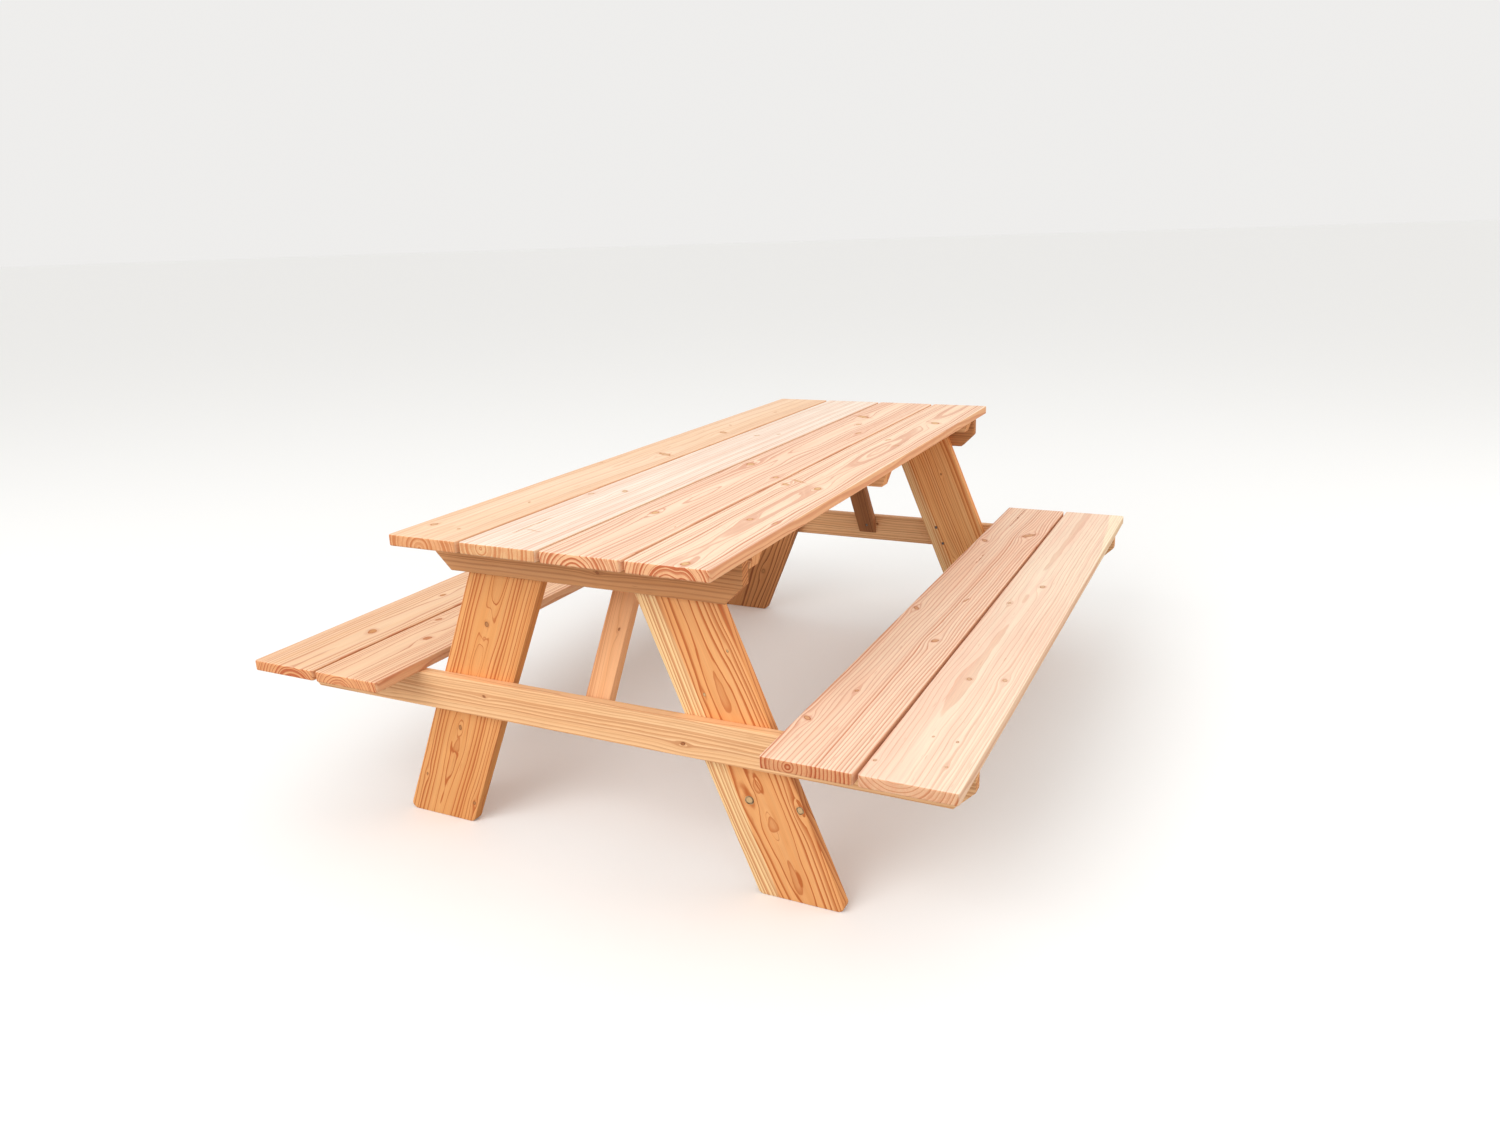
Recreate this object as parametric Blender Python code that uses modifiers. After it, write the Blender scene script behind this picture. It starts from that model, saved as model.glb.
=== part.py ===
"""Timber picnic table: a boarded top and two boarded benches on A-shaped end frames.

Metres, +Z up. The origin is on the ground under the middle of the top. X runs across
the table, from bench to bench, and Y along it. The front frame is the one at -Y.
"""

import math

import bmesh
import bpy
from mathutils import Euler, Vector

# ---- driving dimensions -------------------------------------------------------------
TABLE_HEIGHT = 0.800
TABLE_LENGTH = 2.130
TABLE_WIDTH = 0.800
BOARD_THICKNESS = 0.026
TOP_BOARD_WIDTHS = (0.188, 0.199, 0.196, 0.193)
TOP_BOARD_GAP = (TABLE_WIDTH - sum(TOP_BOARD_WIDTHS)) / 3

SEAT_HEIGHT = 0.434
BENCH_LENGTH = 2.140
BENCH_INNER_X = 0.492
BENCH_OUTER_X = 0.891
BENCH_BOARD_GAP = 0.008
BENCH_BOARD_WIDTH = (BENCH_OUTER_X - BENCH_INNER_X - BENCH_BOARD_GAP) / 2

FRAME_THICKNESS = 0.028
LEG_FACE_Y = 0.8963
LEG_WIDTH = 0.191
LEG_SPLAY = math.radians(22.6)
LEG_FOOT_X = 0.5125

SEAT_BEAM_HALF_LENGTH = 0.885
SEAT_BEAM_HEIGHT = 0.090
SEAT_BEAM_CHAMFER = 0.044

CLEAT_HALF_LENGTH = 0.399
CLEAT_HEIGHT = 0.092
CLEAT_CHAMFER = 0.0425

BATTEN_HALF_LENGTH = 0.397
BATTEN_WIDTH = 0.045
BATTEN_HEIGHT = 0.030
CENTRE_BATTEN_HEIGHT = 0.038
BATTEN_END_SLOPE = math.radians(20)

BRACE_WIDTH = 0.064
BRACE_ANGLE = math.radians(33.2)
BRACE_LOW_Z = 0.3405
REAR_BRACE_SHIFT = 0.012

CLEARANCE = 0.0003
BOARD_EASE = 0.003
BOARD_CORNER_RADIUS = 0.008
FOOT_CORNER_RADIUS = 0.015
FRAME_EASE = 0.0015

# ---- screws: overall length, shank radius, head radius and how deep the head sits -----
HEAD_RADIUS = 0.0047
SHANK_RADIUS = 0.0025
HEAD_HEIGHT = 0.004
TIP_LENGTH = 0.006
SCREW_SIDES = 12
HEAD_RECESS = 0.0008
FRAME_SCREW_LENGTH = 0.048
BATTEN_SCREW_LENGTH = 0.045
CENTRE_SCREW_LENGTH = 0.052
BRACE_SCREW_LENGTH = 0.042
BENCH_SCREW_LENGTH = 0.075
BENCH_COUNTERBORE_DEPTH = 0.035
BRACE_COUNTERBORE_DEPTH = 0.010
CUTTER_REACH = 0.012
WOOD_ROUGHNESS = 0.6
MERGE_DISTANCE = 0.00001

# ---- where the screw heads sit: each leg's are (name, distance from the middle, height) --
LEG_SCREWS = (("low", 0.305, 0.333), ("mid", 0.279, 0.390), ("high", 0.300, 0.722))
BRACE_LOW_SCREW_Z = 0.3755
BRACE_LOW_SCREW_ASIDE = 0.003
BRACE_LOW_SCREW_SUNK = 0.003
BRACE_HIGH_SCREW_Z = 0.748
BRACE_HIGH_SCREW_ASIDE = 0.014
BRACE_HIGH_SCREW_SUNK = 0.006

UNDERSIDE_Z = TABLE_HEIGHT - BOARD_THICKNESS - CLEARANCE
SEAT_UNDERSIDE_Z = SEAT_HEIGHT - BOARD_THICKNESS - CLEARANCE
LEG_INNER_Y = LEG_FACE_Y - FRAME_THICKNESS
BEAM_INNER_Y = LEG_FACE_Y + CLEARANCE
BEAM_CENTRE_Y = BEAM_INNER_Y + FRAME_THICKNESS / 2
ENDS = (("front", -1), ("rear", 1))
SIDES = (("left", -1), ("right", 1))

# ---- wood colours, and zinc-plated steel ----------------------------------------------
PINK_FIR = (0.72, 0.44, 0.30, 1)
PALE_FIR = (0.80, 0.62, 0.45, 1)
ORANGE_FIR = (0.62, 0.33, 0.14, 1)
TAN_FIR = (0.55, 0.31, 0.14, 1)
DARK_STEEL = (0.10, 0.09, 0.08, 1)


def clear_objects():
    for old in list(bpy.data.objects):
        bpy.data.objects.remove(old)


def new_collection(name):
    collection = bpy.data.collections.new(name)
    bpy.context.scene.collection.children.link(collection)
    return collection


def new_material(name, colour, roughness, metallic=0.0):
    material = bpy.data.materials.new(name)
    material.use_nodes = True
    shader = material.node_tree.nodes["Principled BSDF"]
    shader.inputs["Base Color"].default_value = colour
    shader.inputs["Roughness"].default_value = roughness
    shader.inputs["Metallic"].default_value = metallic
    return material


def ease_edges(piece, width):
    """Take every sharp edge off a piece, by the given width."""
    bevel = piece.modifiers.new("eased_edges", "BEVEL")
    bevel.width = width
    bevel.segments = 1
    bevel.limit_method = "ANGLE"
    bevel.angle_limit = math.radians(30)


def arc_corner(before, corner, after, radius, steps=5):
    """Points of the arc that rounds off the corner between two straight sides."""
    corner = Vector(corner)
    back = (Vector(before) - corner).normalized()
    ahead = (Vector(after) - corner).normalized()
    half_angle = back.angle(ahead) / 2
    centre = corner + (back + ahead).normalized() * radius / math.sin(half_angle)
    start = (corner + back * radius / math.tan(half_angle) - centre).normalized()
    end = (corner + ahead * radius / math.tan(half_angle) - centre).normalized()
    return [tuple(centre + start.slerp(end, i / steps) * radius) for i in range(steps + 1)]


def rounded_outline(corners, radii):
    """An outline with each corner rounded off by its own radius, or left sharp at 0."""
    outline = []
    for i, (corner, radius) in enumerate(zip(corners, radii)):
        if radius:
            outline += arc_corner(corners[i - 1], corner, corners[(i + 1) % len(corners)], radius)
        else:
            outline.append(corner)
    return outline


def slab(name, outline, thickness, location, rotation, colour, ease):
    """A piece cut from a board: a flat outline, drawn in XY, with a thickness along Z."""
    curve = bpy.data.curves.new(name, "CURVE")
    curve.dimensions = "2D"
    curve.fill_mode = "BOTH"
    curve.extrude = thickness / 2
    spline = curve.splines.new("POLY")
    spline.points.add(len(outline) - 1)
    for point, (x, y) in zip(spline.points, outline):
        point.co = (x, y, 0, 1)
    spline.use_cyclic_u = True
    drawn = bpy.data.objects.new(name + "_outline", curve)
    drawn.location = location
    drawn.rotation_euler = rotation
    PARTS.objects.link(drawn)
    bpy.context.view_layer.update()
    drawn_now = drawn.evaluated_get(bpy.context.evaluated_depsgraph_get())
    mesh = bpy.data.meshes.new_from_object(drawn_now)
    shape = bmesh.new()
    shape.from_mesh(mesh)
    bmesh.ops.remove_doubles(shape, verts=shape.verts, dist=MERGE_DISTANCE)
    shape.to_mesh(mesh)
    shape.free()
    piece = bpy.data.objects.new(name, mesh)
    piece.matrix_world = drawn.matrix_world.copy()
    bpy.data.objects.remove(drawn)
    mesh.materials.clear()
    mesh.materials.append(new_material(name, colour, WOOD_ROUGHNESS))
    ease_edges(piece, ease)
    PARTS.objects.link(piece)
    return piece


def board(name, size, centre, colour):
    """A planed board laid flat, with rounded corners and eased edges."""
    width, length, thickness = size
    x, y = width / 2, length / 2
    corners = [(-x, -y), (x, -y), (x, y), (-x, y)]
    outline = rounded_outline(corners, [BOARD_CORNER_RADIUS] * 4)
    return slab(name, outline, thickness, centre, (0, 0, 0), colour, BOARD_EASE)


def upright_slab(name, outline, thickness, y, colour, ease):
    """A slab whose outline is drawn in X and Z, standing across the table at y."""
    return slab(name, outline, thickness, (0, y, 0), (math.radians(90), 0, 0), colour, ease)


def turned_mesh(name, profile):
    """The mesh of a profile of (radius, height) points, top to bottom, turned round Z."""
    mesh = bpy.data.meshes.new(name + "_profile")
    points = [(radius, 0, height) for radius, height in profile]
    mesh.from_pydata(points, [(i, i + 1) for i in range(len(points) - 1)], [])
    blank = bpy.data.objects.new(name + "_profile", mesh)
    PARTS.objects.link(blank)
    turn = blank.modifiers.new("turned", "SCREW")
    turn.steps = SCREW_SIDES
    turn.render_steps = SCREW_SIDES
    turn.use_merge_vertices = True
    turn.merge_threshold = 0.0001
    bpy.context.view_layer.update()
    blank_now = blank.evaluated_get(bpy.context.evaluated_depsgraph_get())
    turned = bpy.data.meshes.new_from_object(blank_now)
    turned.name = name
    bpy.data.objects.remove(blank)
    return turned


def screw_mesh(length):
    """A countersunk wood screw. Its head is at the origin and its point at -length."""
    profile = (
        (0, 0),
        (HEAD_RADIUS, 0),
        (SHANK_RADIUS, -HEAD_HEIGHT),
        (SHANK_RADIUS, TIP_LENGTH - length),
        (0, -length),
    )
    mesh = turned_mesh("screw", profile)
    mesh.shade_smooth()
    mesh.set_sharp_from_angle(angle=math.radians(30))
    mesh.materials.append(STEEL)
    return mesh


def hole_mesh(length, reach):
    """The hole for a screw of this length, which opens outward for reach above its head."""
    profile = (
        (0, reach),
        (HEAD_RADIUS + CLEARANCE, reach),
        (HEAD_RADIUS + CLEARANCE, -CLEARANCE),
        (SHANK_RADIUS + CLEARANCE, -HEAD_HEIGHT - CLEARANCE),
        (SHANK_RADIUS + CLEARANCE, TIP_LENGTH - length - CLEARANCE),
        (0, -length - CLEARANCE),
    )
    return turned_mesh("hole", profile)


def drive(name, length, head, outward, pieces, reach=CUTTER_REACH):
    """Put a screw in, with its head's top at head, and cut its hole in each piece."""
    facing = Vector(outward).to_track_quat("Z", "Y").to_euler()
    screw = bpy.data.objects.new(name, screw_mesh(length))
    hole = bpy.data.objects.new(name + "_hole", hole_mesh(length, reach))
    for part, collection in ((screw, PARTS), (hole, CUTTERS)):
        part.location = head
        part.rotation_euler = facing
        collection.objects.link(part)
    hole.hide_render = True
    hole.display_type = "WIRE"
    for piece in pieces:
        cut = piece.modifiers.new(name, "BOOLEAN")
        cut.operation = "DIFFERENCE"
        cut.object = hole
    return screw


def make_top_boards():
    """Four boards side by side, numbered from the left, with a drainage gap between them."""
    boards = []
    left_edge = -TABLE_WIDTH / 2
    colours = (PINK_FIR, PALE_FIR, PINK_FIR, PINK_FIR)
    for number, (width, colour) in enumerate(zip(TOP_BOARD_WIDTHS, colours), start=1):
        centre = (left_edge + width / 2, 0, TABLE_HEIGHT - BOARD_THICKNESS / 2)
        size = (width, TABLE_LENGTH, BOARD_THICKNESS)
        boards.append(board(f"top_board_{number}", size, centre, colour))
        left_edge += width + TOP_BOARD_GAP
    return boards


def make_bench_boards(side_name, side):
    """A bench is an inner and an outer board, laid across the ends of the seat beams."""
    inner_x = BENCH_INNER_X + BENCH_BOARD_WIDTH / 2
    outer_x = BENCH_OUTER_X - BENCH_BOARD_WIDTH / 2
    boards = []
    for place, x, colour in (("inner", inner_x, PINK_FIR), ("outer", outer_x, PALE_FIR)):
        centre = (side * x, 0, SEAT_HEIGHT - BOARD_THICKNESS / 2)
        size = (BENCH_BOARD_WIDTH, BENCH_LENGTH, BOARD_THICKNESS)
        name = f"bench_board_{side_name}_{place}"
        boards.append(board(name, size, centre, colour))
    return boards


def leg_centre_x(z):
    """How far from the middle the leg's centre line is at height z."""
    return LEG_FOOT_X - z * math.tan(LEG_SPLAY)


def make_leg(end_name, end, side_name, side):
    """A splayed board, cut level at the foot and under the top."""
    half = LEG_WIDTH / 2 / math.cos(LEG_SPLAY)
    top_x = leg_centre_x(UNDERSIDE_Z)
    corners = [
        (side * (LEG_FOOT_X - half), 0),
        (side * (LEG_FOOT_X + half), 0),
        (side * (top_x + half), UNDERSIDE_Z),
        (side * (top_x - half), UNDERSIDE_Z),
    ]
    outline = rounded_outline(corners, [FOOT_CORNER_RADIUS, FOOT_CORNER_RADIUS, 0, 0])
    centre_y = end * (LEG_FACE_Y - FRAME_THICKNESS / 2)
    name = f"leg_{end_name}_{side_name}"
    return upright_slab(name, outline, FRAME_THICKNESS, centre_y, ORANGE_FIR, FRAME_EASE)


def chamfered_outline(half_length, top_z, height, chamfer_x, chamfer_z):
    """A rail's side view, with its lower corners cut off."""
    bottom_z = top_z - height
    return [
        (-half_length, bottom_z + chamfer_z),
        (-half_length + chamfer_x, bottom_z),
        (half_length - chamfer_x, bottom_z),
        (half_length, bottom_z + chamfer_z),
        (half_length, top_z),
        (-half_length, top_z),
    ]


def make_seat_beam(end_name, end):
    """The rail on the outside of a pair of legs that carries both benches."""
    outline = chamfered_outline(
        SEAT_BEAM_HALF_LENGTH, SEAT_UNDERSIDE_Z, SEAT_BEAM_HEIGHT, SEAT_BEAM_CHAMFER, SEAT_BEAM_CHAMFER
    )
    name = f"seat_beam_{end_name}"
    return upright_slab(name, outline, FRAME_THICKNESS, end * BEAM_CENTRE_Y, TAN_FIR, FRAME_EASE)


def make_top_cleat(end_name, end):
    """The rail under the top, on the outside of a pair of legs."""
    outline = chamfered_outline(
        CLEAT_HALF_LENGTH, UNDERSIDE_Z, CLEAT_HEIGHT, CLEAT_CHAMFER, CLEAT_CHAMFER
    )
    name = f"top_cleat_{end_name}"
    return upright_slab(name, outline, FRAME_THICKNESS, end * BEAM_CENTRE_Y, TAN_FIR, FRAME_EASE)


def make_batten(name, y, height):
    """A batten across the underside of the boards, with its ends cut back."""
    cut_back = height * math.tan(BATTEN_END_SLOPE)
    outline = [
        (-BATTEN_HALF_LENGTH + cut_back, UNDERSIDE_Z - height),
        (BATTEN_HALF_LENGTH - cut_back, UNDERSIDE_Z - height),
        (BATTEN_HALF_LENGTH, UNDERSIDE_Z),
        (-BATTEN_HALF_LENGTH, UNDERSIDE_Z),
    ]
    return upright_slab(name, outline, BATTEN_WIDTH, y, TAN_FIR, FRAME_EASE)


def brace_under_y(z):
    """Distance from the middle to the brace's inner face at height z."""
    return LEG_FACE_Y - (z - BRACE_LOW_Z) * math.tan(BRACE_ANGLE)


def make_brace(end_name, end, x):
    """A strut from the seat beam up to the boards, cut plumb at the foot and level on top."""
    inner_top_y = brace_under_y(UNDERSIDE_Z)
    outer_top_y = inner_top_y + FRAME_THICKNESS / math.cos(BRACE_ANGLE)
    foot_height = FRAME_THICKNESS / math.sin(BRACE_ANGLE)
    outline = [
        (end * LEG_FACE_Y, BRACE_LOW_Z),
        (end * LEG_FACE_Y, BRACE_LOW_Z + foot_height),
        (end * outer_top_y, UNDERSIDE_Z),
        (end * inner_top_y, UNDERSIDE_Z),
    ]
    upright_along_y = Euler((math.radians(90), 0, math.radians(90)))
    name = f"brace_{end_name}"
    return slab(name, outline, BRACE_WIDTH, (x, 0, 0), upright_along_y, ORANGE_FIR, FRAME_EASE)


def screw_leg(end_name, end, side_name, side, leg, beam, cleat):
    """Two screws from the leg into the seat beam and one into the top cleat."""
    head_y = end * (LEG_INNER_Y + HEAD_RECESS)
    for place, x, z in LEG_SCREWS:
        rail = cleat if place == "high" else beam
        name = f"screw_leg_{end_name}_{side_name}_{place}"
        drive(name, FRAME_SCREW_LENGTH, (side * x, head_y, z), (0, -end, 0), (leg, rail))


def screw_brace(end_name, end, brace, beam, board_above, x):
    """One screw from the brace into the seat beam, and one up into a top board."""
    low_y = brace_under_y(BRACE_LOW_SCREW_Z) + BRACE_LOW_SCREW_SUNK
    head = (x + BRACE_LOW_SCREW_ASIDE, end * low_y, BRACE_LOW_SCREW_Z)
    drive(f"screw_brace_{end_name}_low", BRACE_SCREW_LENGTH, head, (0, -end, 0), (brace, beam))
    high_y = brace_under_y(BRACE_HIGH_SCREW_Z) + BRACE_HIGH_SCREW_SUNK
    head = (x + BRACE_HIGH_SCREW_ASIDE, end * high_y, BRACE_HIGH_SCREW_Z)
    name = f"screw_brace_{end_name}_high"
    drive(name, BRACE_SCREW_LENGTH, head, (0, 0, -1), (brace, board_above), BRACE_COUNTERBORE_DEPTH)


def screw_batten(name, batten, y, height, length, boards):
    """One screw up through the batten into each top board."""
    for number, piece in enumerate(boards, start=1):
        head = (piece.location.x, y, UNDERSIDE_Z - height + HEAD_RECESS)
        drive(f"screw_{name}_{number}", length, head, (0, 0, -1), (batten, piece))


def screw_bench(side_name, end_name, end, boards, beam):
    """A long screw from a counterbore under the seat beam up into each bench board."""
    head_z = SEAT_UNDERSIDE_Z - SEAT_BEAM_HEIGHT + BENCH_COUNTERBORE_DEPTH
    for place, piece in zip(("inner", "outer"), boards):
        head = (piece.location.x, end * BEAM_CENTRE_Y, head_z)
        name = f"screw_bench_{side_name}_{end_name}_{place}"
        reach = BENCH_COUNTERBORE_DEPTH + CUTTER_REACH
        drive(name, BENCH_SCREW_LENGTH, head, (0, 0, -1), (beam, piece), reach)


clear_objects()
PARTS = new_collection("picnic_table")
CUTTERS = new_collection("cutters")
STEEL = new_material("screw_steel", DARK_STEEL, 0.45, 0.9)

top_boards = make_top_boards()
bench_boards = {name: make_bench_boards(name, side) for name, side in SIDES}
centre_batten = make_batten("batten_centre", 0, CENTRE_BATTEN_HEIGHT)
screw_batten("batten_centre", centre_batten, 0, CENTRE_BATTEN_HEIGHT, CENTRE_SCREW_LENGTH, top_boards)

for end_name, end in ENDS:
    seat_beam = make_seat_beam(end_name, end)
    top_cleat = make_top_cleat(end_name, end)
    batten_y = end * (LEG_INNER_Y - CLEARANCE - BATTEN_WIDTH / 2)
    end_batten = make_batten(f"batten_{end_name}", batten_y, BATTEN_HEIGHT)
    screw_batten(f"batten_{end_name}", end_batten, batten_y, BATTEN_HEIGHT, BATTEN_SCREW_LENGTH, top_boards)
    brace_x = REAR_BRACE_SHIFT if end_name == "rear" else 0
    brace = make_brace(end_name, end, brace_x)
    screw_brace(end_name, end, brace, seat_beam, top_boards[2], brace_x)
    for side_name, side in SIDES:
        leg = make_leg(end_name, end, side_name, side)
        screw_leg(end_name, end, side_name, side, leg, seat_beam, top_cleat)
        screw_bench(side_name, end_name, end, bench_boards[side_name], seat_beam)
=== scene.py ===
"""A timber picnic table: planed softwood boards on splayed, board-cut frames, all screwed.

Metres, +Z up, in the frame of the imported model. X runs across the table from bench to bench
and Y along it. Each timber is worked out in its own lay: x across its grain, y along it and
z through its thickness.
"""

import math

import bmesh
import bpy
import numpy as np
from mathutils import Matrix, Vector


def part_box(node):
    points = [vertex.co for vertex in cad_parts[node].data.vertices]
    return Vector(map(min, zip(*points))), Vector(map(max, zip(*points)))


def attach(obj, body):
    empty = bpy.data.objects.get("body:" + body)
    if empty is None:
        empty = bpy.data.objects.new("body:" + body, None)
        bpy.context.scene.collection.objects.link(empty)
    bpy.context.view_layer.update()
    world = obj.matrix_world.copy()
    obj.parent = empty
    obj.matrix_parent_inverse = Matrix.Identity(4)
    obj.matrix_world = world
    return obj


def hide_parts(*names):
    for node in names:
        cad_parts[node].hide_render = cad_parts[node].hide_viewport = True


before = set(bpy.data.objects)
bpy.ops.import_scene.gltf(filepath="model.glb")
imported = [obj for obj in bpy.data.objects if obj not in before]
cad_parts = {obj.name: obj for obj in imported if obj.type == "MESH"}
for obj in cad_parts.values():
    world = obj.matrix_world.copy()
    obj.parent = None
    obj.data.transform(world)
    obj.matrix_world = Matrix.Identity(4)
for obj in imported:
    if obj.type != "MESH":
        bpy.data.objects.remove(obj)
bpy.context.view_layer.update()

bpy.context.scene.view_settings.view_transform = "Standard"


# ---- Camera ---------------------------------------------------------------------------
# A wide lens at standing height, off the front right corner, looking down on the top. Yaw is
# counted from the table's length, pitch from the level, and roll about the view line.
CAMERA_PLACE = (1.336, -2.793, 1.397)
CAMERA_YAW, CAMERA_PITCH, CAMERA_ROLL = -26.19, -16.55, -1.85
CAMERA_LENS = 26.11
SENSOR_WIDTH = 36


def aim(yaw, pitch, roll):
    """The camera's turn: its view line from yaw and pitch, then rolled about that line."""
    yaw, pitch, roll = math.radians(yaw), math.radians(pitch), math.radians(roll)
    ahead = Vector((math.sin(yaw) * math.cos(pitch), math.cos(yaw) * math.cos(pitch), math.sin(pitch)))
    right = Vector((math.cos(yaw), -math.sin(yaw), 0))
    up = right.cross(ahead)
    across = right * math.cos(roll) + up * math.sin(roll)
    above = up * math.cos(roll) - right * math.sin(roll)
    return Matrix((across, above, -ahead)).transposed().to_4x4()


def placed(name, data):
    """A new object of this name and data, linked into the scene."""
    made = bpy.data.objects.new(name, data)
    bpy.context.scene.collection.objects.link(made)
    return made


camera_data = bpy.data.cameras.new("camera")
camera_data.sensor_fit = "HORIZONTAL"
camera_data.sensor_width = SENSOR_WIDTH
camera_data.lens = CAMERA_LENS
camera = placed("camera", camera_data)
camera.matrix_world = Matrix.Translation(CAMERA_PLACE) @ aim(CAMERA_YAW, CAMERA_PITCH, CAMERA_ROLL)
bpy.context.scene.camera = camera


# ---- Top boards -----------------------------------------------------------------------
# Four planed boards of larch or fir lie side by side with a narrow gap between them. Their
# corners are rounded and every edge is eased. They are screwed from below, through the
# battens, so no fixing shows on top.
BOARD_EASE = 0.0032
BOARD_CORNER = 0.008
BOARD_ROWS = 220
EASE_SWING, EASE_SWELLS = 0.22, 25
EDGE_WANDER, EDGE_SWELLS = 0.0003, 9
BEND_STEPS = 5
CLOSING_STEPS = 5
MERGE_WITHIN = 0.000005
LEAST_EDGE = 0.000002
SHARP_ANGLE = math.radians(35)


def rounded_section(across=34, through=5, turn=5):
    """Once round a rectangle with rounded corners, as the core it is built on and the normal.

    Both run over four sides and four quarter circles. The core is given in parts of its half
    width and half thickness; the surface is the core plus the edge radius times the normal.
    """
    run = np.sin(np.linspace(-np.pi / 2, np.pi / 2, across))
    rise = np.linspace(-1, 1, through)
    quarter = np.linspace(0, np.pi / 2, turn + 2)[1:-1]
    core, normal = [], []
    for side, (x, z) in enumerate(((run, -1), (1, rise), (-run, 1), (-1, -rise))):
        facing = (side - 1) * np.pi / 2
        flat = np.broadcast_arrays(x, z)
        core.append(np.stack(flat, axis=1))
        normal.append(np.tile((np.cos(facing), np.sin(facing)), (len(flat[0]), 1)))
        core.append(np.tile(core[-1][-1], (turn, 1)))
        normal.append(np.stack((np.cos(facing + quarter), np.sin(facing + quarter)), axis=1))
    return np.concatenate(core), np.concatenate(normal)


def waves(where, seed, count=5):
    """A sum of sines of falling size, at steps and phases drawn from the seed: about -1 to 1."""
    draw = np.random.default_rng(seed)
    step = draw.uniform(0.7, 1.4, count) * 2.0 ** np.arange(count)
    phase = draw.uniform(0, 2 * np.pi, count)
    size = 0.6 ** np.arange(count)
    return (np.sin(np.asarray(where)[..., None] * step + phase) * size).sum(axis=-1) / size.sum()


def timber_points(width, thickness, ease, start, stop, rows, seed):
    """The surface of one timber as a grid: stations along the grain by points round its section.

    Between the ends the section is carried from start(x, z) to stop(x, z). Round each end it
    shrinks by ease * (1 - cos) while it moves out by ease * sin, and the end grain is closed by
    cores inset step by step down to their middle line. The edge radius and the line of the
    edges vary a little on the way, as planed and sanded timber does.
    """
    core, normal = rounded_section()
    half = np.array((width, thickness)) / 2
    bend = np.linspace(0, np.pi / 2, BEND_STEPS)
    inset = np.linspace(1, 0, CLOSING_STEPS + 1)[:-1]
    run = np.linspace(0, 1, rows)[1:-1]
    cap, end = np.ones(CLOSING_STEPS), np.ones(CLOSING_STEPS + BEND_STEPS)
    shrink = np.concatenate((cap, 1 - np.cos(bend[::-1]), 0 * run, 1 - np.cos(bend), cap))
    closing = np.concatenate((inset, np.zeros(2 * BEND_STEPS + len(run)), inset[::-1]))
    near = np.concatenate((0 * cap, 1 - np.sin(bend[::-1]), np.ones(len(run)), end))
    far = np.concatenate((end, np.ones(len(run)), 1 - np.sin(bend), 0 * cap))
    part = np.concatenate((0 * end, run, end))

    radius = ease * (1 + EASE_SWING * waves(part * EASE_SWELLS, seed))[:, None, None]
    limit = half - radius
    edge = limit - closing[:, None, None] * (half[1] - radius)
    place = np.clip(core * limit, -edge, edge) + (1 - shrink)[:, None, None] * radius * normal
    place[..., 0] += EDGE_WANDER * waves(part * EDGE_SWELLS, seed + 1)[:, None]
    x, z = place[..., 0], place[..., 1]
    first = start(x, z) + ease * near[:, None]
    last = stop(x, z) - ease * far[:, None]
    along = first + (last - first) * part[:, None]
    return np.stack((x, along, z), axis=2)


def grid_faces(stations, around):
    """The four-sided faces between neighbouring stations, closed round the section."""
    here = np.arange(around)
    beside = np.roll(here, -1)
    base = np.arange(stations - 1)[:, None] * around
    corners = (base + here, base + beside, base + around + beside, base + around + here)
    return np.stack(corners, axis=2).reshape(-1, 4)


def closed_mesh(name, points, faces):
    """A mesh of these points and faces, with its doubles merged and its faces turned out."""
    mesh = bpy.data.meshes.new(name)
    mesh.from_pydata(points.reshape(-1, 3).tolist(), [], faces.tolist())
    shape = bmesh.new()
    shape.from_mesh(mesh)
    bmesh.ops.remove_doubles(shape, verts=shape.verts, dist=MERGE_WITHIN)
    bmesh.ops.dissolve_degenerate(shape, edges=shape.edges, dist=LEAST_EDGE)
    bmesh.ops.recalc_face_normals(shape, faces=shape.faces)
    shape.to_mesh(mesh)
    shape.free()
    mesh.shade_smooth()
    mesh.set_sharp_from_angle(angle=SHARP_ANGLE)
    return mesh


def lay(origin, along, out):
    """Where a timber lies: its middle, the way its grain runs and the way its face looks."""
    along, out = Vector(along).normalized(), Vector(out).normalized()
    turn = Matrix((along.cross(out), along, out)).transposed()
    return Matrix.Translation(origin) @ turn.to_4x4()


def timber(node, slot, place, size, ease, start, stop, rows, seed, look, knots):
    """One timber, in its place in the table, that stands for the CAD node of its name."""
    points = timber_points(*size, ease, start, stop, rows, seed)
    stations, around = points.shape[:2]
    turn = np.array(place.to_3x3())
    points = points @ turn.T + np.array(place.translation)
    mesh = closed_mesh(node + "_timber", points, grid_faces(stations, around))
    mesh.materials.append(softwood(node + "_wood", place, {**look, "Seed": seed * SEED_STEP}, knots))
    piece = placed(node + "_timber", mesh)
    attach(piece, "root")
    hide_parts(node)
    return piece


def plug(tree, inputs, values):
    """Feed these inputs, by number or name, with other nodes' outputs or plain values."""
    for key, value in values.items():
        if isinstance(value, bpy.types.NodeSocket):
            tree.links.new(value, inputs[key])
        elif value is not None:
            inputs[key].default_value = value


def feed(tree, kind, values=(), out=0, **settings):
    """A new node of this kind, set and fed by number or name; its output of this number."""
    made = tree.nodes.new("ShaderNode" + kind)
    for key, value in settings.items():
        setattr(made, key, value)
    plug(tree, made.inputs, values if isinstance(values, dict) else dict(enumerate(values)))
    return made.outputs[out]


def parted(tree, value, kind="SeparateXYZ"):
    """The three parts of a vector, or of a colour."""
    return feed(tree, kind, (value,)).node.outputs


def work(tree, operation, *values):
    """One step of arithmetic on numbers."""
    return feed(tree, "Math", values, operation=operation)


def times(tree, first, second):
    """The product of two numbers."""
    return work(tree, "MULTIPLY", first, second)


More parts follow.
